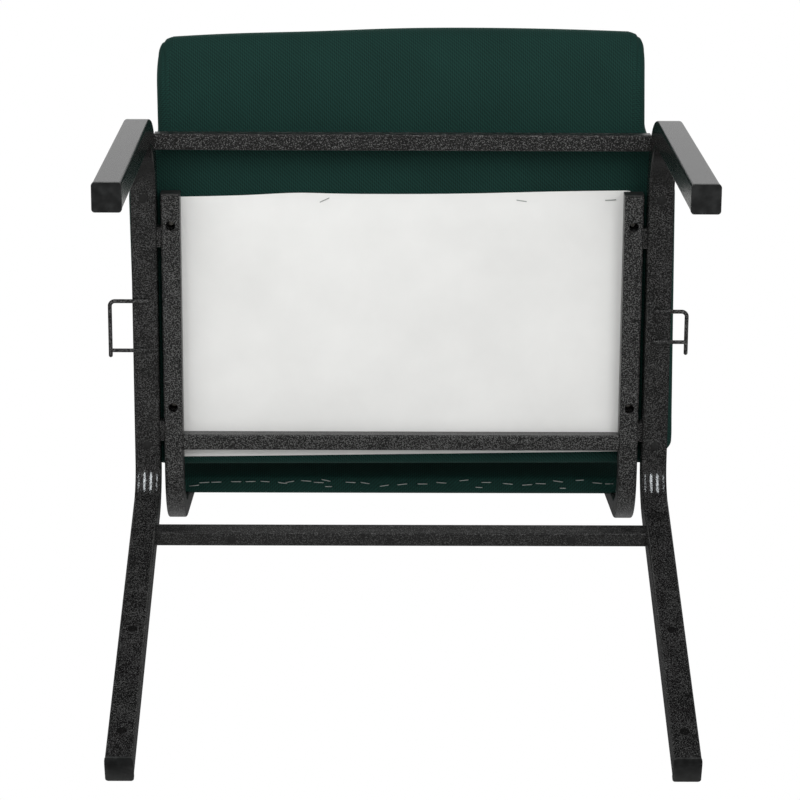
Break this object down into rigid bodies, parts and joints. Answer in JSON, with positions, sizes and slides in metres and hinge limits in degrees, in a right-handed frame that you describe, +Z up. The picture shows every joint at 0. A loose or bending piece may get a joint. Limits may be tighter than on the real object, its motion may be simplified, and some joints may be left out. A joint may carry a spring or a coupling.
{
  "type": "church chair",
  "caption": "Stacking church chair: bent square-tube leg frames, seat tubes that rise into the back, thick upholstered seat and back, wire ganging brackets.",
  "frame": {"origin": "middle of the overall box, on the floor", "axes": "+Z up from the floor, the chair faces -Y, +X to the sitter's left"},
  "size_m": [0.5742, 0.6151, 0.8533],
  "materials": {
    "frame_coat": "black vein powder coat with grey specks",
    "wire_coat": "smooth black powder coat",
    "glide_plastic": "moulded black polyethylene",
    "bumper_rubber": "black moulded rubber",
    "plywood": "raw plywood",
    "upholstery": "dark green twill over foam",
    "cover_sheet": "white non-woven sheet",
    "staple_steel": "bright wire staples",
    "screw_steel": "zinc-plated steel screws"
  },
  "bodies": {
    "root": {"left_leg_frame": "frame_coat", "right_leg_frame": "frame_coat", "left_seat_back_tube": "frame_coat", "right_seat_back_tube": "frame_coat", "tube_spacers": "frame_coat", "front_crossbar": "frame_coat", "rear_seat_crossbar": "frame_coat", "rear_leg_brace": "frame_coat", "back_crossbar": "frame_coat", "front_left_glide": "glide_plastic", "front_right_glide": "glide_plastic", "rear_left_glide": "glide_plastic", "rear_right_glide": "glide_plastic", "seat_tube_plugs": "glide_plastic", "left_gang_bracket": "wire_coat", "right_gang_bracket": "wire_coat", "rail_bumpers": "bumper_rubber", "leg_bumpers": "bumper_rubber", "brace_bumpers": "bumper_rubber", "seat_board": "plywood", "seat_cushion": "upholstery", "dust_cover": "cover_sheet", "dust_cover_staples": "staple_steel", "seat_screws": "screw_steel", "back_board": "plywood", "back_cushion": "upholstery", "back_cover": "upholstery", "back_staples": "staple_steel", "back_screws": "screw_steel"}
  },
  "joints": []
}
